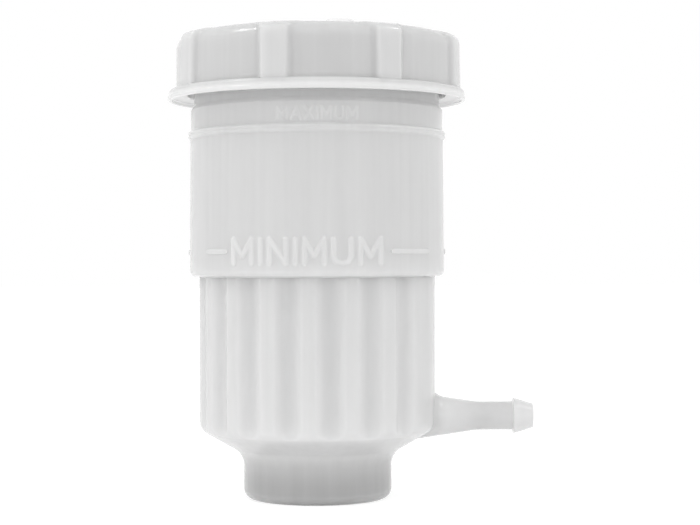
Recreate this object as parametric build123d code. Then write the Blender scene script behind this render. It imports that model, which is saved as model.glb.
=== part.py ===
from build123d import *
import os
from math import atan2, cos, degrees, radians, tan

# Brake fluid reservoir with a screw cap, in millimetres.
# The origin is the centre of the bottom spigot's lower face, +Z runs up the axis,
# and the hose stub points along +X. The level marks are on the -Y side.

# Bottom spigot, an open socket
spigot_radius = 18.4
spigot_edge_round = 2.6
spigot_wall = 3.2
spigot_root_round = 5.0

# Lower body, fluted, with a conical shoulder
lower_radius = 29.4
shoulder_angle = 30.0
shoulder_height = 17.5
shoulder_round = 3.5
shoulder_wall = 2.4
lower_length = 37.8
lower_wall = 2.3
flute_count = 18
flute_width = 7.2
flute_depth = 1.2
flute_crest_round = 1.2
ridge_bearing = 7.0
plain_half_angle = 30.0

# Upper body, a step wider
step_width = 2.3
step_round = 1.4
step_floor = 2.6
upper_length = 33.8
upper_draft = 0.2

# Bead round the top of the body, two fine ridges with a groove between
bead_width = 2.2
bead_proud = 0.6
bead_groove = 0.25
bead_ridge_round = 0.4
bead_groove_round = 0.3
bead_root_round = 0.15

# Collar and neck
collar_setback = 0.4
collar_length = 5.1
neck_setback = 0.8
neck_slope = 1.1
neck_slope_round = 0.5
neck_length = 14.8
neck_wall = 2.1
neck_rim_round = 0.5

# Inside of the vessel
core_draft = 0.3
throat_round = 1.0
chamber_corner_round = 1.5
step_corner_round = 1.0

# Screw thread, right-handed
thread_pitch = 5.0
thread_depth = 1.2
thread_root_width = 2.4
thread_crest_width = 1.0
thread_sunk = 0.3
thread_radial_clearance = 0.5
thread_flank_clearance = 0.3
neck_thread_above_collar = 4.0
neck_thread_turns = 1.75
cap_thread_turns_above = 1.0
cap_thread_turns = 1.25

# Screw cap
cap_height = 16.1
cap_wall = 2.7
cap_top_wall = 2.2
cap_top_round = 3.6
cap_inner_round = 0.4
grip_count = 8
grip_phase = -15.3
grip_proud = 1.2
grip_width = 6.0
grip_flank_angle = 20.0
grip_top_drop = 0.35
grip_top_round = 2.2
grip_side_round = 0.7
flange_proud = 2.0
flange_height = 2.7
flange_top_round = 1.0
flange_root_round = 0.3
flange_lip = 0.15
flange_lip_height = 0.9
flange_lip_round = 0.25
flange_rim_width = 1.0
flange_recess = 0.85
flange_recess_round = 0.4
thread_lead_in = 0.4
thread_lead_in_round = 0.3

# Vent through the cap's top
vent_boss_radius = 3.6
vent_boss_height = 1.7
vent_boss_round = 0.8
vent_boss_distance = 21.0
vent_boss_bearing = 16.5
vent_hole_radius = 0.6

# Rubber gasket between the cap and the neck's rim
gasket_thickness = 1.5
gasket_side_clearance = 0.5
gasket_inner_overhang = 1.2

# Splash baffle pressed on a stake under the vent
stake_radius = 3.0
baffle_neck_clearance = 3.8
baffle_thickness = 1.0
baffle_gap = 1.3
baffle_rim_height = 0.4
baffle_rim_width = 1.0
baffle_hub_radius = 5.0
baffle_hub_height = 0.9
baffle_edge_round = 0.2

# Hose stub with one barb
stub_above_shoulder = 2.8
stub_radius = 3.5
stub_bore_radius = 1.9
stub_cone_length = 10.2
stub_cone_angle = 8.5
stub_cone_round = 12.0
stub_tube_length = 9.1
stub_cone_sunk = 5.6
stub_root_length = 1.6
stub_root_sunk = 1.5
stub_root_proud = 0.8
stub_root_rise = 0.95
barb_length = 5.0
barb_proud = 0.85
barb_crest_width = 0.4
barb_tip_radius = 2.95
barb_tip_round = 0.35
barb_edge_round = 0.15

# Level marks, raised on the front
mark_proud = 0.33
mark_sunk = 0.5
mark_edge = 0.12
level_above_step = 6.0
dash_width = 1.25
left_dash = (-55.3, -41.0)
right_dash = (34.3, 59.0)
parting_dash_half_angle = 4.5
low_word_height = 6.8
low_word_bearing = -4.2
low_stroke = 1.1
low_letter_gap = 1.1
high_word_above_bead = 0.6
high_word_height = 3.4
high_word_bearing = 1.2
high_stroke = 0.6
high_letter_gap = 0.35
high_proud = 0.15

# Strokes of the plain letters, in letter heights: width, then lists of joined points
LETTERS = {
    "M": (0.8, [[(0, 0), (0, 1), (0.4, 0.3), (0.8, 1), (0.8, 0)]]),
    "I": (0.0, [[(0, 0), (0, 1)]]),
    "N": (0.7, [[(0, 0), (0, 1), (0.7, 0), (0.7, 1)]]),
    "A": (0.8, [[(0, 0), (0.4, 1), (0.8, 0)], [(0.13, 0.33), (0.67, 0.33)]]),
    "X": (0.7, [[(0, 0), (0.7, 1)], [(0, 1), (0.7, 0)]]),
    "U": (0.7, [[(0, 1), (0, 0.3), (0.1, 0.08), (0.35, 0), (0.6, 0.08), (0.7, 0.3), (0.7, 1)]]),
}

# How far a cutting shape reaches past the face it cuts, and an added one into its wall
cut_past = 1.0
joint_depth = 1.0

# Sizes that follow
slope = tan(radians(shoulder_angle))
bore_radius = spigot_radius - spigot_wall
chamber_radius = lower_radius - flute_depth - lower_wall
upper_radius = lower_radius + step_width
collar_radius = upper_radius - collar_setback
neck_radius = collar_radius - neck_setback
neck_bore_radius = neck_radius - neck_wall
step_height = shoulder_height + lower_length
bead_height = step_height + upper_length
collar_top = bead_height + bead_width + collar_length
neck_top = collar_top + neck_length
stub_height = shoulder_height + stub_above_shoulder
stub_cone_end = lower_radius + stub_cone_length
barb_back = stub_cone_end + stub_tube_length
stub_tip = barb_back + barb_length
level_height = step_height + level_above_step
level_radius = upper_radius - upper_draft * level_above_step / upper_length

flank_run = (thread_root_width - thread_crest_width) / 2 / (thread_depth + thread_sunk)
thread_overlap = thread_depth - thread_radial_clearance
cap_thread_drop = thread_crest_width + thread_overlap * flank_run + thread_flank_clearance
neck_thread_start = collar_top + neck_thread_above_collar
cap_thread_start = neck_thread_start + thread_pitch * cap_thread_turns_above - cap_thread_drop
cap_bore_radius = neck_radius + thread_depth + thread_radial_clearance
cap_wall_radius = cap_bore_radius + cap_wall
grip_radius = cap_wall_radius + grip_proud
flange_radius = cap_wall_radius + flange_proud
ceiling = neck_top + gasket_thickness
cap_top = ceiling + cap_top_wall
flange_bottom = cap_top - cap_height
flange_top = flange_bottom + flange_height
stake_length = baffle_gap + baffle_thickness + baffle_hub_height
baffle_radius = neck_bore_radius - baffle_neck_clearance
UPWARD = (Align.CENTER, Align.CENTER, Align.MIN)
DOWNWARD = (Align.CENTER, Align.CENTER, Align.MAX)


def revolved(corners):
    """Solid of revolution about Z from (radius, height, rounding) corners."""
    outline = FilletPolyline(
        *[(radius, height) for radius, height, _ in corners],
        radius=[rounding for _, _, rounding in corners],
        close=True,
    )
    return revolve(Plane.XZ * make_face(outline), axis=Axis.Z)


def fluted_column(bottom, top):
    """Column with round-bottomed flutes and a ridge between each two, plain round about the stub."""
    half_width = flute_width / 2
    flute_radius = (half_width**2 + flute_depth**2) / (2 * flute_depth)
    centre = lower_radius - flute_depth + flute_radius
    outline = Sketch() + Circle(lower_radius)
    for index in range(flute_count):
        bearing = ridge_bearing + 360 / flute_count * (index + 0.5)
        from_stub = abs((bearing + 180) % 360 - 180)
        if from_stub > plain_half_angle:
            outline -= Rot(0, 0, bearing) * Pos(centre, 0) * Circle(flute_radius)
    outline = fillet(outline.vertices(), flute_crest_round)
    return Pos(0, 0, bottom) * extrude(outline, top - bottom)


def lower_outside():
    """Outer form of the spigot, shoulder and fluted body."""
    spigot_top = shoulder_height - (lower_radius - spigot_radius) * slope
    inside_step = step_height + step_floor / 2
    plain = revolved([
        (0, 0, 0),
        (spigot_radius, 0, spigot_edge_round),
        (spigot_radius, spigot_top, spigot_root_round),
        (lower_radius, shoulder_height, shoulder_round),
        (lower_radius, inside_step, 0),
        (0, inside_step, 0),
    ])
    return plain & fluted_column(-cut_past, inside_step + cut_past)


def upper_outside():
    """Outer form of the upper body, bead, collar and neck."""
    bead_top = bead_height + bead_width
    below_bead = upper_radius - upper_draft
    crest = below_bead + bead_proud
    return revolved([
        (0, step_height, 0),
        (upper_radius, step_height, step_round),
        (below_bead, bead_height, bead_root_round),
        (crest, bead_height + bead_width / 4, bead_ridge_round),
        (crest - bead_groove, bead_height + bead_width / 2, bead_groove_round),
        (crest, bead_top - bead_width / 4, bead_ridge_round),
        (collar_radius, bead_top, bead_root_round),
        (collar_radius, collar_top, neck_slope_round),
        (neck_radius, collar_top + neck_slope, neck_slope_round),
        (neck_radius, neck_top, neck_rim_round),
        (0, neck_top, 0),
    ])


def body_cavity():
    """Inside of the chamber, from the spigot's mouth to the neck's mouth."""
    inner_corner = shoulder_height + shoulder_wall / cos(radians(shoulder_angle))
    inner_corner -= (lower_radius - chamber_radius) * slope
    throat_height = inner_corner - (chamber_radius - bore_radius) * slope
    return revolved([
        (0, -cut_past, 0),
        (bore_radius, -cut_past, 0),
        (bore_radius, throat_height, throat_round),
        (chamber_radius, inner_corner, chamber_corner_round),
        (chamber_radius + core_draft, step_height, step_corner_round),
        (neck_bore_radius - core_draft, step_height + step_floor, step_corner_round),
        (neck_bore_radius, neck_top + cut_past, 0),
        (0, neck_top + cut_past, 0),
    ])


def cone_radius(distance):
    """Radius of the stub's tapered root at a distance from the body's axis."""
    return stub_radius + (stub_cone_end - distance) * tan(radians(stub_cone_angle))


def stub_circle(distance, radius, rise):
    """Circle across the stub at a distance from the body's axis, raised above the stub's own axis."""
    return Plane(origin=(distance, 0, rise), z_dir=(1, 0, 0)) * Circle(radius)


def stub_outside():
    """Flared root, taper, tube and barb of the hose stub, about the X axis.

    The taper starts so deep that its underside runs out in the shoulder."""
    barb_radius = stub_radius + barb_proud
    start = lower_radius - stub_cone_sunk
    outline = FilletPolyline(
        (start, 0),
        (start, cone_radius(start)),
        (stub_cone_end, stub_radius),
        (barb_back, stub_radius),
        (barb_back, barb_radius),
        (barb_back + barb_crest_width, barb_radius),
        (stub_tip, barb_tip_radius),
        (stub_tip, 0),
        radius=[
            0, 0, stub_cone_round, barb_edge_round,
            barb_edge_round, barb_edge_round, barb_tip_round, 0,
        ],
        close=True,
    )
    solid = revolve(Plane.XZ * make_face(outline), axis=Axis.X)
    root_start = lower_radius - stub_root_sunk
    root_end = lower_radius + stub_root_length
    solid += loft([
        stub_circle(root_start, cone_radius(root_start) + stub_root_proud, stub_root_rise),
        stub_circle(root_end, cone_radius(root_end), 0),
    ])
    return Pos(0, 0, stub_height) * solid


def stub_passage():
    """Straight bore from the stub's tip into the chamber."""
    start = chamber_radius - stub_radius
    bore = Cylinder(stub_bore_radius, stub_tip + cut_past - start, align=UPWARD)
    return Pos(start, 0, stub_height) * Rot(0, 90, 0) * bore


def thread(root_radius, crest_radius, start_height, turns):
    """Trapezoid ridge wound on a helix, sunk a little into the wall that carries it."""
    depth = crest_radius - root_radius
    sunk = -thread_sunk if depth > 0 else thread_sunk
    path = Helix(thread_pitch, thread_pitch * turns, root_radius)
    profile = make_face(Polyline(
        (sunk, -thread_root_width / 2),
        (depth, -thread_crest_width / 2),
        (depth, thread_crest_width / 2),
        (sunk, thread_root_width / 2),
        close=True,
    ))
    start = Plane(origin=path @ 0, x_dir=(1, 0, 0), z_dir=path % 0)
    return Pos(0, 0, start_height) * sweep(start * profile, path, is_frenet=True)


def stroke(start, end, width):
    """Straight stroke of a letter with round ends."""
    rise = end[1] - start[1]
    run = end[0] - start[0]
    middle = ((start[0] + end[0]) / 2, (start[1] + end[1]) / 2)
    bar = SlotCenterToCenter((rise**2 + run**2) ** 0.5, width)
    return Pos(*middle) * Rot(0, 0, degrees(atan2(rise, run))) * bar


def word(text, height, width, gap):
    """Flat word in plain strokes, centred on x = 0, standing on y = 0."""
    reach = height - width
    total = sum(LETTERS[letter][0] * reach + width for letter in text) + gap * (len(text) - 1)
    left = -total / 2 + width / 2
    flat = Sketch()
    for letter in text:
        advance, strokes = LETTERS[letter]
        for points in strokes:
            placed = [(left + x * reach, width / 2 + y * reach) for x, y in points]
            for start, end in zip(placed, placed[1:]):
                flat += stroke(start, end, width)
        left += advance * reach + width + gap
    return flat


def raised_word(flat, height, base, bearing, wall_radius, proud):
    """Flat word laid on a round wall at a bearing from the front, standing proud of it."""
    outer = wall_radius + proud
    block = Pos(0, 0, base) * extrude(Plane.XZ * flat, outer + cut_past)
    tall = height + 2 * cut_past
    shell = Cylinder(outer, tall) - Cylinder(wall_radius - mark_sunk, tall)
    shell = Pos(0, 0, base + height / 2) * shell
    return Rot(0, 0, bearing) * (block & shell)


def dash(start, end):
    """Raised arc of the level line between two bearings from the front."""
    inner = level_radius - mark_sunk
    outer = level_radius + mark_proud
    low = level_height - dash_width / 2
    high = level_height + dash_width / 2
    outline = Polyline(
        (inner, low),
        (outer - mark_edge, low),
        (outer, low + mark_edge),
        (outer, high - mark_edge),
        (outer - mark_edge, high),
        (inner, high),
        close=True,
    )
    arc = revolve(Plane.XZ * make_face(outline), axis=Axis.Z, revolution_arc=end - start)
    return Rot(0, 0, start - 90) * arc


def level_marks():
    """Level line with its word, short dashes over the parting line and the upper level word."""
    marks = dash(*left_dash) + dash(*right_dash)
    for side in (-90, 90):
        marks += dash(side - parting_dash_half_angle, side + parting_dash_half_angle)
    low_word = word("MINIMUM", low_word_height, low_stroke, low_letter_gap)
    low_base = level_height - low_word_height / 2
    marks += raised_word(
        low_word, low_word_height, low_base, low_word_bearing, level_radius, mark_proud
    )
    high_word = word("MAXIMUM", high_word_height, high_stroke, high_letter_gap)
    high_base = bead_height + bead_width + high_word_above_bead
    marks += raised_word(
        high_word, high_word_height, high_base, high_word_bearing, collar_radius, high_proud
    )
    return marks


def reservoir_body():
    """One moulding: chamber, neck with thread, spigot and hose stub."""
    body = lower_outside() + upper_outside() + stub_outside()
    body += level_marks()
    body += thread(neck_radius, neck_radius + thread_depth, neck_thread_start, neck_thread_turns)
    body -= body_cavity()
    body -= stub_passage()
    return body


def grip_rib():
    """One grip rib of the cap, pointing along +X, with sloping flanks and soft edges."""
    low = flange_top - flange_top_round
    high = cap_top - grip_top_drop
    envelope = revolved([
        (0, low, 0),
        (grip_radius, low, 0),
        (grip_radius, high, grip_top_round),
        (0, high, 0),
    ])
    inner = cap_wall_radius - cap_top_round
    widening = tan(radians(grip_flank_angle))
    inner_half = grip_width / 2 + (grip_radius - inner) * widening
    outer_half = grip_width / 2 - cut_past * widening
    flat = make_face(Polyline(
        (inner, -inner_half),
        (grip_radius + cut_past, -outer_half),
        (grip_radius + cut_past, outer_half),
        (inner, inner_half),
        close=True,
    ))
    rib = Pos(0, 0, low) * extrude(flat, cap_height) & envelope
    buried = rib.faces().sort_by(Axis.Z)[0].edges() + rib.faces().sort_by(Axis.X)[0].edges()
    edges = rib.edges() - buried
    flank_edges = [edge for edge in edges if abs(edge.center().Y) > grip_width / 4]
    return fillet(flank_edges, grip_side_round)


def cap_outside():
    """Outer form of the cap: wall, rounded top, flange and grip ribs."""
    lip_radius = flange_radius + flange_lip
    lip_top = flange_bottom + flange_lip_height
    outside = revolved([
        (0, flange_bottom, 0),
        (lip_radius, flange_bottom, flange_lip_round),
        (lip_radius, lip_top, 0),
        (flange_radius, lip_top + flange_lip, 0),
        (flange_radius, flange_top, flange_top_round),
        (cap_wall_radius, flange_top, flange_root_round),
        (cap_wall_radius, cap_top, cap_top_round),
        (0, cap_top, 0),
    ])
    rib = grip_rib()
    for index in range(grip_count):
        outside += Rot(0, 0, grip_phase - 90 + 360 / grip_count * index) * rib
    return outside


def cap_inside():
    """Hollow of the cap, with the shallow recess under its flange."""
    recess_radius = flange_radius + flange_lip - flange_rim_width
    recess_top = flange_bottom + flange_recess
    return revolved([
        (0, flange_bottom - cut_past, 0),
        (recess_radius, flange_bottom - cut_past, 0),
        (recess_radius, recess_top, flange_recess_round),
        (cap_bore_radius, recess_top + thread_lead_in, thread_lead_in_round),
        (cap_bore_radius, ceiling, cap_inner_round),
        (0, ceiling, 0),
    ])


def screw_cap():
    """One moulding: cap with grip ribs, flange, inside thread, vent and baffle stake."""
    vent = Rot(0, 0, vent_boss_bearing - 90) * Pos(vent_boss_distance, 0, 0)
    boss = Cylinder(vent_boss_radius, vent_boss_height + joint_depth, align=UPWARD)
    boss = fillet(boss.edges().group_by(Axis.Z)[-1], vent_boss_round)
    cap = cap_outside() + vent * Pos(0, 0, cap_top - joint_depth) * boss
    cap -= cap_inside()
    cap += thread(cap_bore_radius, cap_bore_radius - thread_depth, cap_thread_start, cap_thread_turns)
    stake = Cylinder(stake_radius, stake_length + joint_depth, align=DOWNWARD)
    cap += Pos(0, 0, ceiling + joint_depth) * stake
    hole_length = cap_top_wall + vent_boss_height + 2 * cut_past
    hole = Cylinder(vent_hole_radius, hole_length, align=UPWARD)
    cap -= vent * Pos(0, 0, ceiling - cut_past) * hole
    return cap


def cap_gasket():
    """Flat rubber ring between the neck's rim and the cap's ceiling."""
    outer = cap_bore_radius - gasket_side_clearance
    inner = neck_bore_radius - gasket_inner_overhang
    ring = Cylinder(outer, gasket_thickness, align=UPWARD) - Cylinder(inner, gasket_thickness, align=UPWARD)
    return Pos(0, 0, neck_top) * ring


def vent_baffle():
    """Shallow splash dish pressed on the stake under the cap's ceiling."""
    top = ceiling - baffle_gap
    under = top - baffle_thickness
    rim_top = top + baffle_rim_height
    hub_bottom = under - baffle_hub_height
    rim_inner = baffle_radius - baffle_rim_width
    return revolved([
        (stake_radius, hub_bottom, 0),
        (baffle_hub_radius, hub_bottom, baffle_edge_round),
        (baffle_hub_radius, under, baffle_edge_round),
        (baffle_radius, under, baffle_edge_round),
        (baffle_radius, rim_top, baffle_edge_round),
        (rim_inner, rim_top, baffle_edge_round / 2),
        (rim_inner, top, baffle_edge_round / 2),
        (stake_radius, top, 0),
    ])


def write_parts():
    """Write each piece to parts/NAME.step."""
    os.makedirs("parts", exist_ok=True)
    pieces = {
        "reservoir_body": reservoir_body(),
        "screw_cap": screw_cap(),
        "cap_gasket": cap_gasket(),
        "vent_baffle": vent_baffle(),
    }
    for name, piece in pieces.items():
        export_step(piece.solid(), f"parts/{name}.step")


write_parts()
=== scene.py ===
import math
from collections import namedtuple

import bmesh
import bpy
import numpy as np
from mathutils import Matrix, Vector


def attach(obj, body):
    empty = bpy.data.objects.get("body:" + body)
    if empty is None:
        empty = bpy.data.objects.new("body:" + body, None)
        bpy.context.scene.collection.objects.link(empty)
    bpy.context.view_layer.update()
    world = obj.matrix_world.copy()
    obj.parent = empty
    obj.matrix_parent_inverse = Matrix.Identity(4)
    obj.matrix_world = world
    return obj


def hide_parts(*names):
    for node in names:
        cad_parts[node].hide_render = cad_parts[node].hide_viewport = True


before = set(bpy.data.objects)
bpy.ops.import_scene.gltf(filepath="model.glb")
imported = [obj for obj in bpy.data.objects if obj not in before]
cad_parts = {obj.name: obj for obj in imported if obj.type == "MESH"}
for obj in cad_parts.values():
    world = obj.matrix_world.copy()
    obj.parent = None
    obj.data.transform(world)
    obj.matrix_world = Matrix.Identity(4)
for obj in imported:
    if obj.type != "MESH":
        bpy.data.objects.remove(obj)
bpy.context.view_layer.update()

# Sizes are in millimetres, angles in degrees and heights above the floor, unless a name says otherwise.
MM = 0.001

# The photograph: nearly level, with the vessel's axis a little left of its middle
photo_width = 700
mm_per_pixel = 0.25
focal_pixels = 1800
sensor_mm = 36.0
axis_pixel_x = 317.2
camera_height = 58.65
camera_roll = -0.18

# Vessel
spigot_radius = 18.4
spigot_edge_round = 2.6
spigot_bore = 15.2
spigot_root_round = 5.0
lower_radius = 29.4
shoulder_height = 17.5
shoulder_slope = math.tan(math.radians(30.0))
shoulder_round = 3.5
shoulder_wall = 2.4
step_height = 55.3
step_floor = 2.6
step_round = 1.4
step_root_round = 0.25
upper_radius = 31.7
upper_draft = 0.2
bead_height = 89.1
bead_width = 2.2
bead_proud = 0.6
bead_groove = 0.25
bead_slope_run = 0.2
bead_slope_drop = 0.2
collar_radius = 31.3
collar_top = 96.4
neck_radius = 30.5
neck_slope = 1.1
neck_top = 111.2
neck_bore = 28.4
neck_rim_height = 0.6
core_draft = 0.3
chamber_radius = 25.9
parting_width = 0.16
parting_proud = 0.06

# Flutes of the lower body, with a ridge between each two
flute_count = 18
flute_half_width = 3.6
flute_depth = 1.2
flute_blend = 0.55
flute_end_blend = 0.25
ridge_bearing = 7.0
plain_half_angle = 30.0

# Hose stub, along +X
stub_height = 20.3
stub_radius = 3.5
stub_bore = 1.9
stub_cone_start = 23.8
stub_cone_end = 39.6
stub_cone_slope = math.tan(math.radians(8.5))
stub_cone_round = 12.0
stub_barb_back = 48.7
stub_barb_proud = 0.85
stub_barb_crest = 0.4
stub_tip = 53.7
stub_tip_radius = 2.95
stub_tip_round = 0.35
stub_root_hidden = 26.4
stub_root_start = 27.9
stub_root_end = 31.5
stub_root_proud = 0.8
stub_root_rise = 0.95

# Threads
thread_pitch = 5.0
thread_depth = 1.2
thread_root_width = 2.4
thread_crest_width = 1.0
thread_run_out = 7.0
neck_thread_start = 100.4
neck_thread_turns = 1.75
cap_thread_start = 103.77
cap_thread_turns = 1.25

# Cap
cap_wall_radius = 34.9
cap_bore = 32.2
cap_top = 114.9
cap_ceiling = 112.7
cap_top_round = 3.6
cap_bottom = 98.8
flange_top = 101.5
flange_top_round = 1.0
flange_radius = 36.9
flange_lip = 0.15
flange_rim_width = 1.0
flange_recess = 0.85
flange_root = 0.3
grip_count = 8
grip_phase = -15.3
grip_radius = 36.1
grip_half_width = 3.0
grip_slope = math.tan(math.radians(20.0))
grip_top = 114.55
grip_top_round = 2.2
grip_side_round = 0.7
grip_root_round = 1.1
grip_draft = 0.02
grip_draft_level = 107.3
stake_radius = 3.0
stake_bottom = 109.5
vent_boss_radius = 3.6
vent_boss_height = 1.7
vent_distance = 21.0
vent_bearing = 16.5
vent_hole = 0.6

# Level marks, at bearings from the front that are positive towards the stub, with a short dash at each side
level_height = 61.3
mark_proud = 0.33
dash_width = 1.25
dash_round = 0.16
dashes = ((-55.3, -41.0), (34.3, 59.0), (-94.5, -85.5), (85.5, 94.5))
Word = namedtuple("Word", "text height stroke gap bearing")
low_word = Word("MINIMUM", 6.8, 1.1, 1.1, -4.2)
high_word = Word("MAXIMUM", 3.4, 0.6, 0.35, 1.2)
high_word_above_bead = 0.6
high_proud = 0.15
word_margin = 0.4
word_edge = 0.22

# Colours, and the painted light and shade: how much lighter or darker each place is painted than its
# plastic's colour, standing in for light and shade
body_colour = (0.78, 0.78, 0.78)
cap_colour = (0.675, 0.675, 0.675)
baffle_colour = (0.72, 0.72, 0.72)
# Painted light and shade on the vessel: flute valleys, stub, body below the step, neck under the flange and
# level marks painted lighter, plain sector about the stub and sides darker
valley_painted_light = 0.09
plain_painted_shade = -0.07
side_painted_shade = -0.05
stub_painted_light = 0.13
lower_painted_light = 0.09
neck_painted_light = 0.15
low_mark_painted_light = 0.06
high_mark_painted_light = 0.04
# Painted shade: the spigot is painted darker towards its lower end, at these heights
spigot_shade_heights = (0, 1.2, 2.7, 5.5, 8.4, 11.3)
spigot_painted_shade = (-0.30, -0.32, -0.39, -0.36, -0.23, -0.02)
# Painted light and shade on the cap: grip ribs, flange skirt and inside painted lighter, the flange's top
# darker
rib_painted_light = 0.08
skirt_painted_light = 0.25
flange_top_painted_shade = -0.12
cap_inside_painted_light = 0.42

# Faint upright lines in the moulding: bearing, lower end, upper end and tone
flow_lines = ((-52.0, 66, 86, 0.05), (-1.0, 76, 87, 0.09), (54.0, 66, 86, -0.05), (-5.5, 30, 50, 0.05))

# Light, in the world's strength, and the floor's greys
horizon_light = 1.02
zenith_light = 0.68
zenith_rise = 0.8
left_light = 0.08
front_light = 0.27
floor_bounce = 0.97
floor_shadow = 0.35
floor_glow = 0.8

# Spacing of a mesh's rows where the flutes run out and where the thread runs
close_rows = 0.32
thread_rows = 0.28

# Strokes of the plain letters, in letter heights: width, then lists of joined points
LETTERS = {
    "M": (0.8, [[(0, 0), (0, 1), (0.4, 0.3), (0.8, 1), (0.8, 0)]]),
    "I": (0.0, [[(0, 0), (0, 1)]]),
    "N": (0.7, [[(0, 0), (0, 1), (0.7, 0), (0.7, 1)]]),
    "A": (0.8, [[(0, 0), (0.4, 1), (0.8, 0)], [(0.13, 0.33), (0.67, 0.33)]]),
    "X": (0.7, [[(0, 0), (0.7, 1)], [(0, 1), (0.7, 0)]]),
    "U": (0.7, [[(0, 1), (0, 0.3), (0.1, 0.08), (0.35, 0), (0.6, 0.08), (0.7, 0.3), (0.7, 1)]]),
}


# Mesh helpers
def even(start, stop, spacing):
    """Values from start to stop with no step larger than spacing, ends included."""
    return np.linspace(start, stop, max(2, math.ceil(abs(stop - start) / spacing) + 1))


def rounded(corners, spacing=12.0):
    """Points of an open outline through (radius, height, rounding) corners, arcs stepped in degrees."""
    points = []
    last = len(corners) - 1
    for index, (radius, height, rounding) in enumerate(corners):
        here = np.array((radius, height))
        if rounding <= 0 or index in (0, last):
            points.append(here)
            continue
        back = np.array(corners[index - 1][:2]) - here
        ahead = np.array(corners[index + 1][:2]) - here
        back = back / np.linalg.norm(back)
        ahead = ahead / np.linalg.norm(ahead)
        half = math.acos(max(-1.0, min(1.0, float(back @ ahead)))) / 2
        turn = math.pi - 2 * half
        middle = back + ahead
        centre = here + middle / np.linalg.norm(middle) * rounding / math.sin(half)
        start = here + back * rounding / math.tan(half) - centre
        end = here + ahead * rounding / math.tan(half) - centre
        sense = math.copysign(1.0, start[0] * end[1] - start[1] * end[0])
        steps = max(2, math.ceil(math.degrees(turn) / spacing))
        for step in range(steps + 1):
            angle = sense * turn * step / steps
            cosine, sine = math.cos(angle), math.sin(angle)
            turned_point = (start[0] * cosine - start[1] * sine, start[0] * sine + start[1] * cosine)
            points.append(centre + turned_point)
    return points


def divided(points, spacing):
    """The outline with extra points, so that no step is longer than spacing(point)."""
    result = []
    for point, ahead in zip(points, points[1:]):
        steps = max(1, math.ceil(float(np.hypot(*(ahead - point))) / spacing(point)))
        result.extend(point + (ahead - point) * step / steps for step in range(steps))
    result.append(points[-1])
    return result


def grid_mesh(name, x, y, z, closed):
    """Piece from row and column arrays. Columns wrap round, and rows too if closed.

    A row that lies on the axis becomes one point."""
    rows, columns = x.shape
    vertices = []
    index = np.zeros((rows, columns), int)
    for row in range(rows):
        if np.all(np.hypot(x[row], y[row]) < 1e-9):
            index[row] = len(vertices)
            vertices.append((0.0, 0.0, float(z[row, 0]) * MM))
        else:
            index[row] = len(vertices) + np.arange(columns)
            vertices.extend(np.stack((x[row], y[row], z[row]), 1).dot(MM).tolist())
    faces = []
    for row in range(rows if closed else rows - 1):
        ahead = (row + 1) % rows
        for column in range(columns):
            across = (column + 1) % columns
            ring = (index[row, column], index[row, across], index[ahead, across], index[ahead, column])
            face = []
            for corner in ring:
                if int(corner) not in face:
                    face.append(int(corner))
            if len(face) > 2:
                faces.append(face)
    mesh = bpy.data.meshes.new(name)
    mesh.from_pydata(vertices, [], faces)
    piece = bpy.data.objects.new(name, mesh)
    bpy.context.scene.collection.objects.link(piece)
    return piece


def turned(name, outline, bearings, shape=None, closed=False):
    """Piece turned about Z from (radius, height) rows. shape(radius, height, bearing) may move points."""
    rows = np.array(outline)
    radius = np.repeat(rows[:, 0][:, None], len(bearings), axis=1)
    height = np.repeat(rows[:, 1][:, None], len(bearings), axis=1)
    bearing = np.repeat(np.array(bearings)[None, :], len(rows), axis=0)
    if shape:
        radius = shape(radius, height, bearing)
    return grid_mesh(name, radius * np.cos(bearing), radius * np.sin(bearing), height, closed)


def around(count):
    """Evenly spaced bearings, in radians."""
    return np.arange(count) / count * 2 * math.pi


def rod(radius, start, end):
    """Plain round solid between two points, for cutting."""
    start, end = Vector(start), Vector(end)
    length = (end - start).length
    piece = turned("rod", [(0, 0), (radius, 0), (radius, length), (0, length)], around(44) + 0.031)
    turn = (end - start).to_track_quat("Z", "Y").to_matrix().to_4x4()
    piece.data.transform(Matrix.Translation(start * MM) @ turn)
    return face_out(piece)


def face_out(piece):
    """Turns the faces outwards."""
    work = bmesh.new()
    work.from_mesh(piece.data)
    bmesh.ops.recalc_face_normals(work, faces=work.faces)
    work.to_mesh(piece.data)
    work.free()
    return piece


def smooth(piece, crease=38.0):
    """Shades smooth, and keeps edges that turn by more than crease degrees."""
    piece.data.shade_smooth()
    piece.data.set_sharp_from_angle(angle=math.radians(crease))
    return piece


def combined(piece, other, operation):
    """Exact boolean of two solids. The second one is used up."""
    modifier = piece.modifiers.new("join", "BOOLEAN")
    modifier.operation = operation
    modifier.solver = "EXACT"
    modifier.object = other
    graph = bpy.context.evaluated_depsgraph_get()
    result = bpy.data.meshes.new_from_object(piece.evaluated_get(graph))
    old = piece.data
    piece.modifiers.clear()
    piece.data = result
    bpy.data.meshes.remove(old)
    result.name = piece.name
    bpy.data.objects.remove(other)
    return piece


def soft_min(a, b, width):
    """Smaller of two values, blended where they are within width of each other."""
    share = np.clip(0.5 + 0.5 * (b - a) / width, 0.0, 1.0)
    return b + (a - b) * share - width * share * (1 - share)


def soft_max(a, b, width):
    return -soft_min(-a, -b, width)


def ramp(value, start, end):
    """0 below start, 1 above end and a smooth rise between."""
    share = np.clip((value - start) / (end - start), 0.0, 1.0)
    return share * share * (3 - 2 * share)


def thread_rise(bearing, height, start, turns):
    """Height of a thread's ridge above its root, from 0 to 1, with its ends run out."""
    rise = np.zeros_like(height)
    half_root = thread_root_width / 2
    half_crest = thread_crest_width / 2
    run_out = thread_run_out / 360
    for turn in range(math.ceil(turns) + 1):
        along = bearing / (2 * math.pi) + turn
        away = np.abs(height - start - thread_pitch * along)
        ridge = np.clip((half_root - away) / (half_root - half_crest), 0.0, 1.0)
        ends = np.clip(along / run_out, 0.0, 1.0) * np.clip((turns - along) / run_out, 0.0, 1.0)
        rise = np.maximum(rise, ridge * ends)
    return rise


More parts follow.
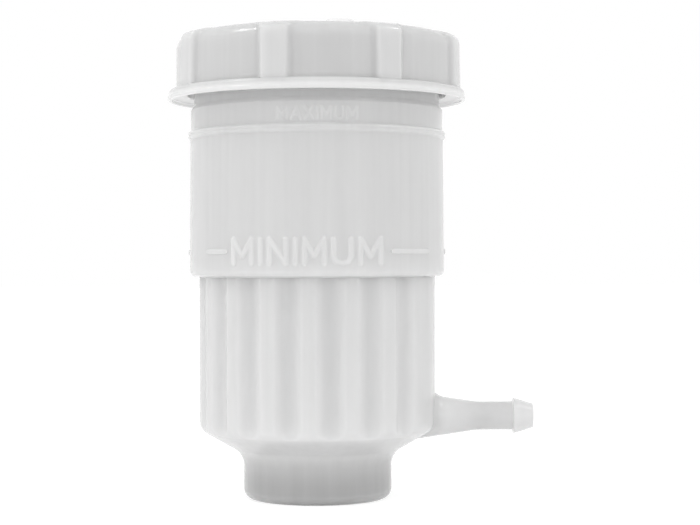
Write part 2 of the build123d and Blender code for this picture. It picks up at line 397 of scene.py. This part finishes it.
# Vessel
def fluted(bearing):
    """Radius of the fluted wall at a bearing in radians from +X, plain round about the stub."""
    pitch = 2 * math.pi / flute_count
    place = (bearing - math.radians(ridge_bearing)) / pitch
    middle = (np.floor(place) + 0.5) * pitch + math.radians(ridge_bearing)
    away = np.abs(bearing - middle)
    from_stub = np.abs((middle + math.pi) % (2 * math.pi) - math.pi)
    carve = (flute_half_width**2 + flute_depth**2) / (2 * flute_depth)
    centre = lower_radius - flute_depth + carve
    reach = carve**2 - (centre * np.sin(away)) ** 2
    valley = centre * np.cos(away) - np.sqrt(np.clip(reach, 0.0, None))
    carved = (reach > 0) & (from_stub > math.radians(plain_half_angle))
    return soft_min(np.where(carved, valley, lower_radius + 5), lower_radius, flute_blend)


def vessel_bearings():
    """Columns for the vessel, closer together at the flutes' edges."""
    pitch = 2 * math.pi / flute_count
    half = flute_half_width / lower_radius
    flat = pitch / 2 - half
    shares = (0.0, 0.3, 0.55, 0.75, 0.87, 0.95, 1.03)
    offsets = [half * share for share in shares] + [half + flat * share for share in (0.25, 0.55)]
    row = [-offset for offset in reversed(offsets[1:])] + offsets + [pitch / 2]
    start = math.radians(ridge_bearing) + pitch / 2
    return np.array([start + pitch * flute + offset for flute in range(flute_count) for offset in row])


def lower_outline():
    """Outside from the spigot's rim to the fluted wall, with close rows where the flutes run out."""
    spigot_top = shoulder_height - (lower_radius - spigot_radius) * shoulder_slope
    outline = rounded([
        (spigot_bore, 0, 0),
        (spigot_radius, 0, spigot_edge_round),
        (spigot_radius, spigot_top, spigot_root_round),
        (lower_radius, shoulder_height, shoulder_round),
        (lower_radius, shoulder_height + 4, 0),
    ], 6.0)
    return divided(outline, lambda point: close_rows if point[0] > chamber_radius else 2.0)


def upper_outline():
    """Outside from just under the step to the neck, with a row at each edge of the marks."""
    low_base, high_base = word_bases()
    marks = (
        low_base - word_margin,
        level_height - dash_width,
        level_height + dash_width,
        low_base + low_word.height + word_margin,
    )
    bead_root = upper_radius - upper_draft
    bead_top = bead_height + bead_width
    crest = bead_root + bead_proud
    last_crest = bead_top - bead_width / 4
    return rounded([
        (lower_radius, step_height - 0.4, 0),
        (lower_radius, step_height, step_root_round),
        (upper_radius, step_height, step_round),
        *[(wall_at(height), height, 0) for height in marks],
        (bead_root, bead_height, 0.2),
        (crest, bead_height + bead_width / 4, 0.4),
        (crest - bead_groove, bead_height + bead_width / 2, 0.3),
        (crest, last_crest - bead_slope_drop, 0.3),
        (crest - bead_slope_run, last_crest + bead_slope_drop, 0.3),
        (collar_radius, bead_top, 0.1),
        (collar_radius, high_base - word_margin, 0),
        (collar_radius, high_base + high_word.height + word_margin, 0),
        (collar_radius, collar_top, 0.5),
        (neck_radius, collar_top + neck_slope, 0.8),
        (neck_radius, collar_top + 2 * neck_slope, 0),
    ], 9.0)


def neck_outline():
    """Close rows up the neck, which carry its thread."""
    heights = even(collar_top + 2.5, neck_top - neck_rim_height, thread_rows)
    return [np.array((neck_radius, height)) for height in heights]


def inside_outline():
    """Over the neck's rim and down the inside to the spigot's lower end."""
    corner_height = shoulder_height + shoulder_wall / math.cos(math.atan(shoulder_slope))
    corner_height -= (lower_radius - chamber_radius) * shoulder_slope
    return rounded([
        (neck_radius, neck_top - neck_rim_height, 0),
        (neck_radius, neck_top, 0.5),
        (neck_bore, neck_top, 0.4),
        (neck_bore - core_draft, step_height + step_floor, 1.0),
        (chamber_radius + core_draft, step_height, 1.0),
        (chamber_radius, corner_height, 1.5),
        (spigot_bore, corner_height - (chamber_radius - spigot_bore) * shoulder_slope, 1.0),
        (spigot_bore, 0.6, 0),
    ], 15.0)


def vessel():
    """The moulding without its stub: spigot, shoulder, flutes, body, bead, collar, thread and inside."""
    outside = lower_outline() + upper_outline() + neck_outline()
    outline = outside + inside_outline()[1:]
    is_outside = (np.arange(len(outline)) < len(outside))[:, None]

    def shape(radius, height, bearing):
        """Adds the flutes, the neck's thread and the fine parting lines at the two sides."""
        is_lower = is_outside & (radius > chamber_radius) & (radius <= lower_radius + 0.001)
        is_lower &= height < step_height + 0.001
        radius = np.where(is_lower, soft_min(radius, fluted(bearing), flute_end_blend), radius)
        is_neck = is_outside & (height > collar_top + neck_slope)
        rise = thread_rise(bearing, height, neck_thread_start, neck_thread_turns)
        radius = radius + np.where(is_neck, rise * thread_depth, 0.0)
        parting = np.exp(-((np.abs(np.sin(bearing)) * radius / parting_width) ** 2))
        return radius + np.where(is_outside & ~is_neck, parting * parting_proud, 0.0)

    return face_out(turned("vessel", outline, vessel_bearings(), shape, closed=True))


def stub_outline():
    """Cone, tube and barb as (radius, distance) rows, on the axis at both ends."""
    cone_radius = stub_radius + (stub_cone_end - stub_cone_start) * stub_cone_slope
    barb_radius = stub_radius + stub_barb_proud
    outline = rounded([
        (cone_radius, stub_cone_start, 0),
        (stub_radius, stub_cone_end, stub_cone_round),
        (stub_radius, stub_barb_back, 0.2),
        (barb_radius, stub_barb_back, 0.15),
        (barb_radius, stub_barb_back + stub_barb_crest, 0.2),
        (stub_tip_radius, stub_tip, stub_tip_round),
        (0, stub_tip, 0),
    ], 4.0)
    return [np.array((0.0, stub_cone_start))] + divided(outline, lambda point: 0.5 if point[1] < 34 else 3.0)


def flared(radius, along, bearings):
    """Places round the stub, still upright, with its root flared outwards and towards -X, its upper side."""
    x = radius * np.cos(bearings)
    y = radius * np.sin(bearings)
    share = np.clip((stub_root_end - along) / (stub_root_end - stub_root_start), 0.0, 1.3) ** 1.6
    share = np.where(along < stub_root_hidden, 0.0, share)
    flare_radius = radius + stub_root_proud * share
    flare_x = flare_radius * np.cos(bearings) - stub_root_rise * share
    flare_y = flare_radius * np.sin(bearings)
    grows = np.hypot(flare_x, flare_y) > np.hypot(x, y)
    grows &= (radius > 0.1) & (along < stub_root_end)
    return np.where(grows, flare_x, x), np.where(grows, flare_y, y)


def stub():
    """Hose stub with one barb, solid, from inside the wall to its tip."""
    bearings = around(72)
    rows = np.array(stub_outline())
    radius = np.repeat(rows[:, 0][:, None], len(bearings), axis=1)
    along = np.repeat(rows[:, 1][:, None], len(bearings), axis=1)
    x, y = flared(radius, along, bearings)
    piece = grid_mesh("stub", x, y, along, closed=False)
    piece.data.transform(Matrix.Rotation(math.pi / 2, 4, "Y"))
    piece.data.transform(Matrix.Translation((0, 0, stub_height * MM)))
    return combined(face_out(piece), hollow(), "DIFFERENCE")


def hollow():
    """The lower chamber, a little larger, so that what it cuts ends inside the chamber's wall."""
    reach = chamber_radius + 1.0
    corner = shoulder_height + 0.3
    outline = [(0, 3), (2, corner - (reach - 2) * shoulder_slope), (reach, corner), (reach, 45), (0, 45)]
    return face_out(turned("hollow", outline, around(90) + 0.013))


# Level marks
def wall_at(height):
    """Radius of the upper body's wall, which narrows a little upwards."""
    return upper_radius - upper_draft * (height - step_height) / (bead_height - step_height)


def word_strokes(text, height, width, gap):
    """Start and end points of the word's strokes, centred on x = 0 and standing on y = 0."""
    reach = height - width
    total = sum(LETTERS[letter][0] * reach + width for letter in text) + gap * (len(text) - 1)
    left = -total / 2 + width / 2
    bars = []
    for letter in text:
        advance, strokes = LETTERS[letter]
        for points in strokes:
            placed = [np.array((left + x * reach, width / 2 + y * reach)) for x, y in points]
            bars += list(zip(placed, placed[1:]))
        left += advance * reach + width + gap
    return bars, total


def with_word(piece, word, base, wall, proud, spacing):
    """Raises a word on the round wall, softly edged, as seen from the front.

    The wall's rows of faces end word_margin below and above the word, and are divided finely here.
    wall gives the wall's radius at a height."""
    text, height, width, gap, bearing = word
    bars, total = word_strokes(text, height, width, gap)
    turn = math.radians(bearing - 90)
    half = math.asin((total / 2 + word_margin) / wall(base))
    low = base - word_margin - 0.01
    high = base + height + word_margin + 0.01
    work = bmesh.new()
    work.from_mesh(piece.data)

    def side_edges(level):
        """Edges of the faces behind the word, those on one level or those that rise."""
        chosen = set()
        for face in work.faces:
            x, y, z = face.calc_center_median() / MM
            angle = (math.atan2(y, x) - turn + math.pi) % (2 * math.pi) - math.pi
            on_wall = math.hypot(x, y) > wall(z) - 0.1 and abs(angle) < half
            if on_wall and low < z < high and all(low < vertex.co.z / MM < high for vertex in face.verts):
                chosen.update(edge for edge in face.edges
                              if (abs(edge.verts[0].co.z - edge.verts[1].co.z) < 1e-7) == level)
        return list(chosen)

    for level in (True, False):
        edges = side_edges(level)
        pieces = [math.ceil(edge.calc_length() / MM / spacing) for edge in edges]
        for count in set(pieces) - {1}:
            group = [edge for edge, number in zip(edges, pieces) if number == count]
            bmesh.ops.subdivide_edges(work, edges=group, cuts=count - 1, use_grid_fill=True)
    edge_width = word_edge * width
    for vertex in work.verts:
        x, y, z = vertex.co / MM
        angle = (math.atan2(y, x) - turn + math.pi) % (2 * math.pi) - math.pi
        if low < z < high and abs(angle) < half and math.hypot(x, y) > wall(z) - 0.1:
            point = np.array((wall(z) * math.sin(angle), z - base))
            away = min(distance_to_bar(point, start, end) for start, end in bars)
            radius = wall(z) + proud * (1 - float(ramp(away, width / 2 - edge_width, width / 2 + edge_width)))
            vertex.co = Vector((radius * math.cos(angle + turn), radius * math.sin(angle + turn), z)) * MM
    work.to_mesh(piece.data)
    work.free()
    return piece


def distance_to_bar(point, start, end):
    run = end - start
    share = min(1.0, max(0.0, float((point - start) @ run) / float(run @ run)))
    return math.hypot(*(point - start - run * share))


def dash(first, last):
    """Raised arc of the level line between two bearings from the front, with rounded edges and ends."""
    wall = wall_at(level_height)
    half = dash_width / 2
    section = rounded([
        (wall - 0.5, -half, 0),
        (wall + mark_proud, -half, dash_round),
        (wall + mark_proud, half, dash_round),
        (wall - 0.5, half, 0),
    ], 30.0)
    bearings = np.radians(even(first, last, 1.0) - 90)
    end_length = half / wall
    rows = []
    for bearing in bearings:
        inset = min(bearing - bearings[0], bearings[-1] - bearing)
        width = 0.55 + 0.45 * min(1.0, inset / end_length)
        rows.append([(radius * math.cos(bearing), radius * math.sin(bearing), level_height + height * width)
                     for radius, height in section])
    count = len(section)
    vertices = [tuple(value * MM for value in point) for row in rows for point in row]
    faces = [[row * count + step, row * count + (step + 1) % count,
              (row + 1) * count + (step + 1) % count, (row + 1) * count + step]
             for row in range(len(rows) - 1) for step in range(count)]
    faces += [list(range(count))[::-1], [(len(rows) - 1) * count + step for step in range(count)]]
    mesh = bpy.data.meshes.new("dash")
    mesh.from_pydata(vertices, [], faces)
    piece = bpy.data.objects.new("dash", mesh)
    bpy.context.scene.collection.objects.link(piece)
    return face_out(piece)


def collar_wall(height):
    return collar_radius


def word_bases():
    """Heights on which the two words stand."""
    return level_height - low_word.height / 2, bead_height + bead_width + high_word_above_bead


# Cap
def rounded_corner(radius, height, outer, top, rounding):
    """Signed distance to a turned form with one rounded corner at its outer top."""
    beyond = radius - (outer - rounding)
    above = height - (top - rounding)
    corner = np.hypot(np.maximum(beyond, 0), np.maximum(above, 0))
    return corner + np.minimum(np.maximum(beyond, above), 0) - rounding


def cap_distance(radius, height, away):
    """Signed distance to the cap's wall and grip ribs. away is the angle from the nearest rib."""
    drafted = (grip_draft_level - height) * grip_draft
    envelope = rounded_corner(radius, height, grip_radius + drafted, grip_top, grip_top_round)
    along = radius * np.cos(away)
    across = np.abs(radius * np.sin(away))
    flank = (across - grip_half_width - (grip_radius - along) * grip_slope) / math.hypot(1, grip_slope)
    rib = soft_max(envelope, flank, grip_side_round)
    wall = rounded_corner(radius, height, cap_wall_radius, cap_top, cap_top_round)
    return soft_min(wall, rib, grip_root_round)


def grip_columns():
    """Angles from each rib's middle in turn, in degrees, closer together at the ribs' flanks."""
    half = (0, 1.5, 3.0, 3.8, 4.2, 4.6, 5.0, 5.4, 5.8, 6.3, 6.8, 7.3, 7.9, 8.6, 9.6, 11, 13, 15.5, 18, 20.5)
    return [-angle for angle in reversed(half[1:])] + list(half) + [360 / grip_count / 2]


def wall_reach(radius, height, angle, away):
    """How far the cap's surface lies from a point inside it, in one direction, found by halving."""
    near = np.zeros_like(away)
    far = np.full_like(away, 2.5)
    for _ in range(24):
        reach = (near + far) / 2
        inside = cap_distance(radius + reach * math.cos(angle), height + reach * math.sin(angle), away) < 0
        near = np.where(inside, reach, near)
        far = np.where(inside, far, reach)
    return near


def wall_rows(away):
    """Rows over the cap's flat top, round its edge and down its wall to the flange."""
    rows = [(np.full_like(away, radius), np.full_like(away, cap_top)) for radius in (0, 8, 16, 24, 29)]
    round_centre = cap_top - cap_top_round
    walk = [(math.radians(angle), round_centre) for angle in even(90, 0, 6.0)]
    walk += [(0.0, height) for height in even(round_centre - 0.5, flange_top + 0.35, 1.2)]
    for angle, centre_height in walk:
        radius = cap_wall_radius - cap_top_round + cap_top_round * math.cos(angle)
        height = centre_height + cap_top_round * math.sin(angle)
        reach = wall_reach(radius, height, angle, away)
        rows.append((radius + reach * math.cos(angle), height + reach * math.sin(angle)))
    return rows


def flange_rows(foot):
    """Rows over the flange, from the radius where the wall or rib stands to its vertical skirt."""
    centre = flange_radius - flange_top_round
    first_turn = np.arccos(np.clip((foot - centre) / flange_top_round, 0.0, 1.0))
    flat = np.maximum(centre - foot, 0.0)
    length = flat + flange_top_round * first_turn
    landing = flange_top - flange_top_round * (1 - np.where(flat > 0, 1.0, np.sin(first_turn)))
    rows = [(foot, landing + flange_root), (foot + flange_root * 0.3, landing + flange_root * 0.3)]
    for share in np.linspace(0, 1, 9):
        walked = flange_root + (length - flange_root) * share
        turn = first_turn - np.maximum(walked - flat, 0) / flange_top_round
        on_flat = walked < flat
        radius = np.where(on_flat, foot + walked, centre + flange_top_round * np.cos(turn))
        height = flange_top - np.where(on_flat, 0.0, flange_top_round * (1 - np.sin(turn)))
        rows.append((radius, height))
    return rows


def cap_inside_rows(bearings):
    """Rows from the flange's skirt over its lip and up the threaded inside to the stake's lower end."""
    lip = flange_radius + flange_lip
    recess = lip - flange_rim_width
    outline = rounded([
        (flange_radius, flange_top - flange_top_round, 0),
        (flange_radius, cap_bottom + flange_recess + 0.2, 0.3),
        (lip, cap_bottom + flange_recess, 0.2),
        (lip, cap_bottom, 0.25),
        (recess, cap_bottom, 0.15),
        (recess, cap_bottom + flange_recess, 0.4),
        (cap_bore, cap_bottom + flange_recess + 0.4, 0.3),
        (cap_bore, cap_bottom + 1.8, 0),
    ], 15.0)[1:]
    outline += [np.array((cap_bore, height)) for height in even(cap_bottom + 2.0, cap_ceiling - 0.6, 0.3)]
    outline += rounded([
        (cap_bore, cap_ceiling - 0.5, 0),
        (cap_bore, cap_ceiling, 0.4),
        (stake_radius, cap_ceiling, 0.3),
        (stake_radius, stake_bottom, 0.2),
        (0, stake_bottom, 0),
    ], 20.0)
    rows = []
    for radius, height in outline:
        level = np.full_like(bearings, height)
        rise = thread_rise(bearings, level, cap_thread_start, cap_thread_turns)
        carries_thread = abs(radius - cap_bore) < 1e-6
        rows.append((radius - rise * thread_depth * carries_thread, level))
    return rows


def cap_shell():
    """The moulding without its vent boss: top, grip ribs, flange, inside thread and stake."""
    offsets = grip_columns()
    away = np.radians(offsets * grip_count)
    first = grip_phase - 90
    sector = 360 / grip_count
    bearings = np.radians([first + sector * rib + offset for rib in range(grip_count) for offset in offsets])
    rows = wall_rows(away)
    foot = rows.pop()[0]
    rows += flange_rows(foot) + cap_inside_rows(bearings)
    radius = np.array([row[0] for row in rows])
    height = np.array([row[1] for row in rows])
    x = radius * np.cos(bearings)
    y = radius * np.sin(bearings)
    return face_out(grid_mesh("cap", x, y, height, closed=False))


def vent_place():
    bearing = math.radians(vent_bearing - 90)
    return Vector((math.cos(bearing), math.sin(bearing), 0)) * vent_distance


def vent_boss():
    """Small round boss on the cap's top, solid."""
    outline = rounded([
        (0, cap_top - 0.6, 0),
        (vent_boss_radius, cap_top - 0.6, 0),
        (vent_boss_radius, cap_top + vent_boss_height, 0.8),
        (0, cap_top + vent_boss_height, 0),
    ], 12.0)
    piece = turned("boss", outline, around(64))
    piece.data.transform(Matrix.Translation(vent_place() * MM))
    return face_out(piece)


def vent_cut():
    place = vent_place()
    return rod(vent_hole, place + Vector((0, 0, cap_ceiling - 1)), place + Vector((0, 0, cap_top + 4)))


# Painted light and shade, plus the moulding's flow marks: how much lighter or darker than its plastic's
# colour each place is painted, standing in for the light that the milky walls let through or hold back
def points_of(piece):
    """Distance from the axis, height, bearing from the front in degrees, and X of each vertex."""
    flat = np.zeros(len(piece.data.vertices) * 3)
    piece.data.vertices.foreach_get("co", flat)
    x, y, z = flat.reshape(-1, 3).T / MM
    return np.hypot(x, y), z, np.degrees(np.arctan2(x, -y)), x


# Stores the painted light and shade, with any flow marks, on each vertex as a lightening or darkening of the
# base colour
def set_painted_light_and_flow_marks(piece, painted_light_and_flow_marks):
    attribute = piece.data.attributes.new("painted_light_and_flow_marks", "FLOAT", "POINT")
    attribute.data.foreach_set("value", np.asarray(painted_light_and_flow_marks, np.float32))


def vessel_painted_light_and_flow_marks(radius, height, bearing, along):
    """Painted light in the valleys, below the step, on the stub, the marks and the neck. Painted shade on the
    plain sector, the sides and the spigot. Also the moulding's faint flow lines.
    """
    above_shoulder = ramp(height, shoulder_height - 1, shoulder_height + 1)
    in_flutes = above_shoulder * (1 - ramp(height, step_height - 0.3, step_height))
    on_stub = ramp(along, lower_radius, lower_radius + 3) * (height < stub_height + 10)
    in_plain = in_flutes * (1 - ramp(np.abs(bearing - 90), plain_half_angle - 8, plain_half_angle))
    at_sides = above_shoulder * ramp(np.abs(np.sin(np.radians(bearing))), 0.3, 0.8)
    valley = (lower_radius - fluted(np.radians(bearing - 90))) / flute_depth
    painted_light_and_flow_marks = in_flutes * valley * valley_painted_light
    # Painted shade on the plain sector and on the sides as seen from the front
    painted_light_and_flow_marks += (in_plain * plain_painted_shade + at_sides * side_painted_shade) * (1 - on_stub)
    # Painted light on the stub
    painted_light_and_flow_marks += on_stub * stub_painted_light
    # Painted light on the body below the step
    painted_light_and_flow_marks += ramp(height, 10.5, 12.5) * (1 - ramp(height, step_height - 1, step_height)) * lower_painted_light
    # Painted light on the neck, where the flange's shade falls
    painted_light_and_flow_marks += ramp(height, collar_top - 0.5, collar_top + 2) * neck_painted_light
    # Painted shade on the spigot, darker towards its lower end
    painted_light_and_flow_marks += (along < spigot_radius + 2) * np.interp(height, spigot_shade_heights, spigot_painted_shade)

    low_base, high_base = word_bases()
    near_low = np.abs(height - level_height) < 4
    near_high = np.abs(height - high_base - high_word.height / 2) < 1.9
    # Painted light on the raised marks and words
    painted_light_and_flow_marks += near_low * ramp(radius - wall_at(height), 0.0, 0.2) * low_mark_painted_light
    painted_light_and_flow_marks += near_high * ramp(radius - collar_radius, 0.0, 0.1) * high_mark_painted_light
    for line_bearing, low, high, line_tone in flow_lines:
        across = np.exp(-((bearing - line_bearing) ** 2))
        painted_light_and_flow_marks += across * ramp(height, low - 3, low + 3) * (1 - ramp(height, high - 3, high + 3)) * line_tone
    return painted_light_and_flow_marks


def cap_painted_light(radius, height):
    """Painted light: lightest inside, lighter on the grip ribs and the flange's skirt. Painted shade: darker
    on the flange's top.
    """
    above_skirt = ramp(height, flange_top - 1.2, flange_top - 0.9)
    on_ribs = above_skirt * ramp(radius, cap_wall_radius + 0.2, grip_radius - 0.2)
    on_flange_top = above_skirt * (1 - ramp(height, flange_top, flange_top + 0.4))
    # Painted light on ribs and skirt, painted shade on the flange's top
    outside = on_ribs * rib_painted_light + (1 - above_skirt) * skirt_painted_light + on_flange_top * flange_top_painted_shade
    # Painted light inside the cap
    return np.where(radius < cap_bore + 0.1, cap_inside_painted_light, outside)


# Materials
def maths(tree, operation, *values):
    """Output of a math node, fed by numbers or by other nodes' outputs."""
    node = tree.nodes.new("ShaderNodeMath")
    node.operation = operation
    for socket, value in zip(node.inputs, values):
        if isinstance(value, (int, float)):
            socket.default_value = value
        else:
            tree.links.new(value, socket)
    return node.outputs[0]


def noise(tree, scale, detail=2.0, distortion=0.0):
    """Noise over the piece's own coordinates, with a scale for each axis."""
    place = tree.nodes.new("ShaderNodeTexCoord")
    stretch = tree.nodes.new("ShaderNodeMapping")
    stretch.inputs["Scale"].default_value = scale
    tree.links.new(place.outputs["Object"], stretch.inputs["Vector"])
    pattern = tree.nodes.new("ShaderNodeTexNoise")
    pattern.inputs["Scale"].default_value = 1.0
    pattern.inputs["Detail"].default_value = detail
    pattern.inputs["Distortion"].default_value = distortion
    tree.links.new(stretch.outputs["Vector"], pattern.inputs["Vector"])
    return pattern.outputs["Fac"]


def around_zero(tree, value, strength):
    """The noise's value spread about 0."""
    return maths(tree, "MULTIPLY", maths(tree, "SUBTRACT", value, 0.5), strength)


def tinted(tree, shader, colour, factor):
    """Base colour times a factor."""
    grey = tree.nodes.new("ShaderNodeCombineColor")
    for channel in ("Red", "Green", "Blue"):
        tree.links.new(factor, grey.inputs[channel])
    tint = tree.nodes.new("ShaderNodeMix")
    tint.data_type = "RGBA"
    tint.blend_type = "MULTIPLY"
    tint.inputs["Factor"].default_value = 1.0
    first, second = [socket for socket in tint.inputs if socket.type == "RGBA"]
    result = [socket for socket in tint.outputs if socket.type == "RGBA"][0]
    first.default_value = (*colour, 1.0)
    tree.links.new(grey.outputs["Color"], second)
    tree.links.new(result, shader.inputs["Base Color"])


def bumped(tree, shader, height, strength, distance_mm):
    bump = tree.nodes.new("ShaderNodeBump")
    bump.inputs["Strength"].default_value = strength
    bump.inputs["Distance"].default_value = distance_mm * MM
    tree.links.new(height, bump.inputs["Height"])
    tree.links.new(bump.outputs["Normal"], shader.inputs["Normal"])


def plastic(name, colour, roughness, radius_mm):
    """Milky moulded plastic: light passes a little way through it, over a soft gloss and faint flow marks.
    Its base colour also carries the painted light and shade of the vertex attribute.
    """
    material = bpy.data.materials.new(name)
    material.use_nodes = True
    tree = material.node_tree
    shader = tree.nodes["Principled BSDF"]
    shader.inputs["Subsurface Weight"].default_value = 1.0
    shader.inputs["Subsurface Radius"].default_value = (1.0, 1.0, 1.0)
    shader.inputs["Subsurface Scale"].default_value = radius_mm * MM
    shader.inputs["IOR"].default_value = 1.49
    shader.inputs["Specular IOR Level"].default_value = 0.35

    mottle = noise(tree, (260.0, 260.0, 70.0), detail=3.0, distortion=0.6)
    streaks = noise(tree, (480.0, 480.0, 9.0))
    grain = noise(tree, (1800.0, 1800.0, 1800.0))
    # Painted light and shade, with the flow marks, read from the vertex attribute
    painted_light_and_flow_marks = tree.nodes.new("ShaderNodeAttribute")
    painted_light_and_flow_marks.attribute_name = "painted_light_and_flow_marks"
    marks = maths(tree, "ADD", around_zero(tree, mottle, 0.05), around_zero(tree, streaks, 0.09))
    factor = maths(tree, "ADD", maths(tree, "ADD", painted_light_and_flow_marks.outputs["Fac"], marks), 1.0)
    tinted(tree, shader, colour, factor)
    rough = maths(tree, "ADD", around_zero(tree, mottle, 0.12), roughness)
    tree.links.new(rough, shader.inputs["Roughness"])
    relief = maths(tree, "ADD", grain, maths(tree, "MULTIPLY", mottle, 2.0))
    bumped(tree, shader, relief, 0.18, 0.04)
    return material


def rubber():
    """Matt black rubber with a fine grain."""
    material = bpy.data.materials.new("gasket_rubber")
    material.use_nodes = True
    tree = material.node_tree
    shader = tree.nodes["Principled BSDF"]
    shader.inputs["Roughness"].default_value = 0.55
    grain = noise(tree, (2500.0, 2500.0, 2500.0))
    shades = tree.nodes.new("ShaderNodeValToRGB")
    shades.color_ramp.elements[0].color = (0.012, 0.012, 0.012, 1)
    shades.color_ramp.elements[1].color = (0.03, 0.03, 0.03, 1)
    tree.links.new(grain, shades.inputs["Fac"])
    tree.links.new(shades.outputs["Color"], shader.inputs["Base Color"])
    bumped(tree, shader, grain, 0.3, 0.05)
    return material


def dress(piece, material):
    piece.data.materials.clear()
    piece.data.materials.append(material)


# Light and floor
def shown_or_lit(tree, lit, shown, output_kind):
    """Surface that camera, glossy and transmission rays see as shown, and other rays as lit."""
    path = tree.nodes.new("ShaderNodeLightPath")
    seen = maths(tree, "MAXIMUM", path.outputs["Is Camera Ray"], path.outputs["Is Glossy Ray"])
    seen = maths(tree, "MAXIMUM", seen, path.outputs["Is Transmission Ray"])
    mix = tree.nodes.new("ShaderNodeMixShader")
    tree.links.new(seen, mix.inputs["Fac"])
    tree.links.new(lit.outputs[0], mix.inputs[1])
    tree.links.new(shown.outputs[0], mix.inputs[2])
    output = tree.nodes.new(output_kind)
    tree.links.new(mix.outputs[0], output.inputs["Surface"])


def sky():
    """Light from all sides, stronger low down, in front and at the left. It shows plain white."""
    world = bpy.data.worlds.new("world")
    world.use_nodes = True
    bpy.context.scene.world = world
    tree = world.node_tree
    tree.nodes.clear()
    direction = tree.nodes.new("ShaderNodeTexCoord")
    split = tree.nodes.new("ShaderNodeSeparateXYZ")
    tree.links.new(direction.outputs["Generated"], split.inputs["Vector"])
    rise = tree.nodes.new("ShaderNodeMapRange")
    rise.inputs["From Min"].default_value = 0.0
    rise.inputs["From Max"].default_value = zenith_rise
    rise.inputs["To Min"].default_value = horizon_light
    rise.inputs["To Max"].default_value = zenith_light
    tree.links.new(split.outputs["Z"], rise.inputs["Value"])
    sideways = maths(tree, "MULTIPLY_ADD", split.outputs["X"], -left_light, 1.0)
    level = maths(tree, "MULTIPLY_ADD", split.outputs["Y"], -front_light, sideways)
    ambient = tree.nodes.new("ShaderNodeBackground")
    ambient.inputs["Color"].default_value = (1, 1, 1, 1)
    tree.links.new(maths(tree, "MULTIPLY", rise.outputs["Result"], level), ambient.inputs["Strength"])
    white = tree.nodes.new("ShaderNodeBackground")
    white.inputs["Color"].default_value = (1, 1, 1, 1)
    shown_or_lit(tree, ambient, white, "ShaderNodeOutputWorld")


def lamp(name, place, size, power):
    """Rectangular lamp aimed at the middle of the vessel. Its place and size are in metres."""
    light = bpy.data.lights.new(name, "AREA")
    light.shape = "RECTANGLE"
    light.size, light.size_y = size
    light.energy = power
    holder = bpy.data.objects.new(name, light)
    bpy.context.scene.collection.objects.link(holder)
    holder.location = place
    holder.rotation_euler = (Vector((0, 0, 0.06)) - Vector(place)).to_track_quat("-Z", "Y").to_euler()


def white_floor():
    """Wide floor that shows as white, except in the vessel's shadow."""
    bpy.ops.mesh.primitive_plane_add(size=8.0, location=(0, 0, 0))
    floor = bpy.context.object
    floor.name = "floor"
    material = bpy.data.materials.new("floor")
    material.use_nodes = True
    tree = material.node_tree
    tree.nodes.clear()
    bounce = tree.nodes.new("ShaderNodeBsdfDiffuse")
    bounce.inputs["Color"].default_value = (floor_bounce, floor_bounce, floor_bounce, 1)
    shadowed = tree.nodes.new("ShaderNodeBsdfDiffuse")
    shadowed.inputs["Color"].default_value = (floor_shadow, floor_shadow, floor_shadow, 1)
    glow = tree.nodes.new("ShaderNodeEmission")
    glow.inputs["Strength"].default_value = floor_glow
    both = tree.nodes.new("ShaderNodeAddShader")
    tree.links.new(shadowed.outputs[0], both.inputs[0])
    tree.links.new(glow.outputs[0], both.inputs[1])
    shown_or_lit(tree, bounce, both, "ShaderNodeOutputMaterial")
    dress(floor, material)
    return floor


def level_camera():
    """Camera level with the vessel's middle, placed so that the axis shows at axis_pixel_x."""
    camera = bpy.data.cameras.new("camera")
    camera.sensor_width = sensor_mm
    camera.lens = sensor_mm * focal_pixels / photo_width
    holder = bpy.data.objects.new("camera", camera)
    bpy.context.scene.collection.objects.link(holder)
    camera_side = (photo_width / 2 - axis_pixel_x) * mm_per_pixel
    holder.location = Vector((camera_side, -focal_pixels * mm_per_pixel, camera_height)) * MM
    upright = Matrix.Rotation(math.pi / 2, 3, "X") @ Matrix.Rotation(math.radians(camera_roll), 3, "Z")
    holder.rotation_euler = upright.to_euler()
    return holder


# The object
body = combined(vessel(), stub(), "UNION")
passage = rod(stub_bore, (chamber_radius - 3, 0, stub_height), (stub_tip + 1, 0, stub_height))
body = combined(body, passage, "DIFFERENCE")
for first, last in dashes:
    body = combined(body, dash(first, last), "UNION")
low_base, high_base = word_bases()
body = with_word(body, low_word, low_base, wall_at, mark_proud, 0.23)
body = with_word(body, high_word, high_base, collar_wall, high_proud, 0.17)
body.name = "vessel"
cap = combined(cap_shell(), vent_boss(), "UNION")
cap = combined(cap, vent_cut(), "DIFFERENCE")
cap.name = "cap"
for piece in (body, cap):
    smooth(piece)
# Painted light and shade on the two mouldings, with the body's flow lines
set_painted_light_and_flow_marks(body, vessel_painted_light_and_flow_marks(*points_of(body)))
set_painted_light_and_flow_marks(cap, cap_painted_light(*points_of(cap)[:2]))

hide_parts("reservoir_body")
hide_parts("screw_cap")
for piece, carrier, slot in ((body, "reservoir", "body_plastic"), (cap, "cap", "cap_plastic")):
    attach(piece, carrier)

dress(body, plastic("body_plastic", body_colour, 0.17, 7.0))
dress(cap, plastic("cap_plastic", cap_colour, 0.16, 4.0))
dress(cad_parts["vent_baffle"], plastic("baffle_plastic", baffle_colour, 0.4, 1.0))
dress(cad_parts["cap_gasket"], rubber())

# What surrounds it
sky()
lamp("left", (-0.455, -0.09, 0.645), (0.11, 0.14), 0.72)
lamp("right", (0.495, -0.09, 0.60), (0.10, 0.10), 0.42)
white_floor()
bpy.context.scene.camera = level_camera()
bpy.context.scene.view_settings.view_transform = "Standard"
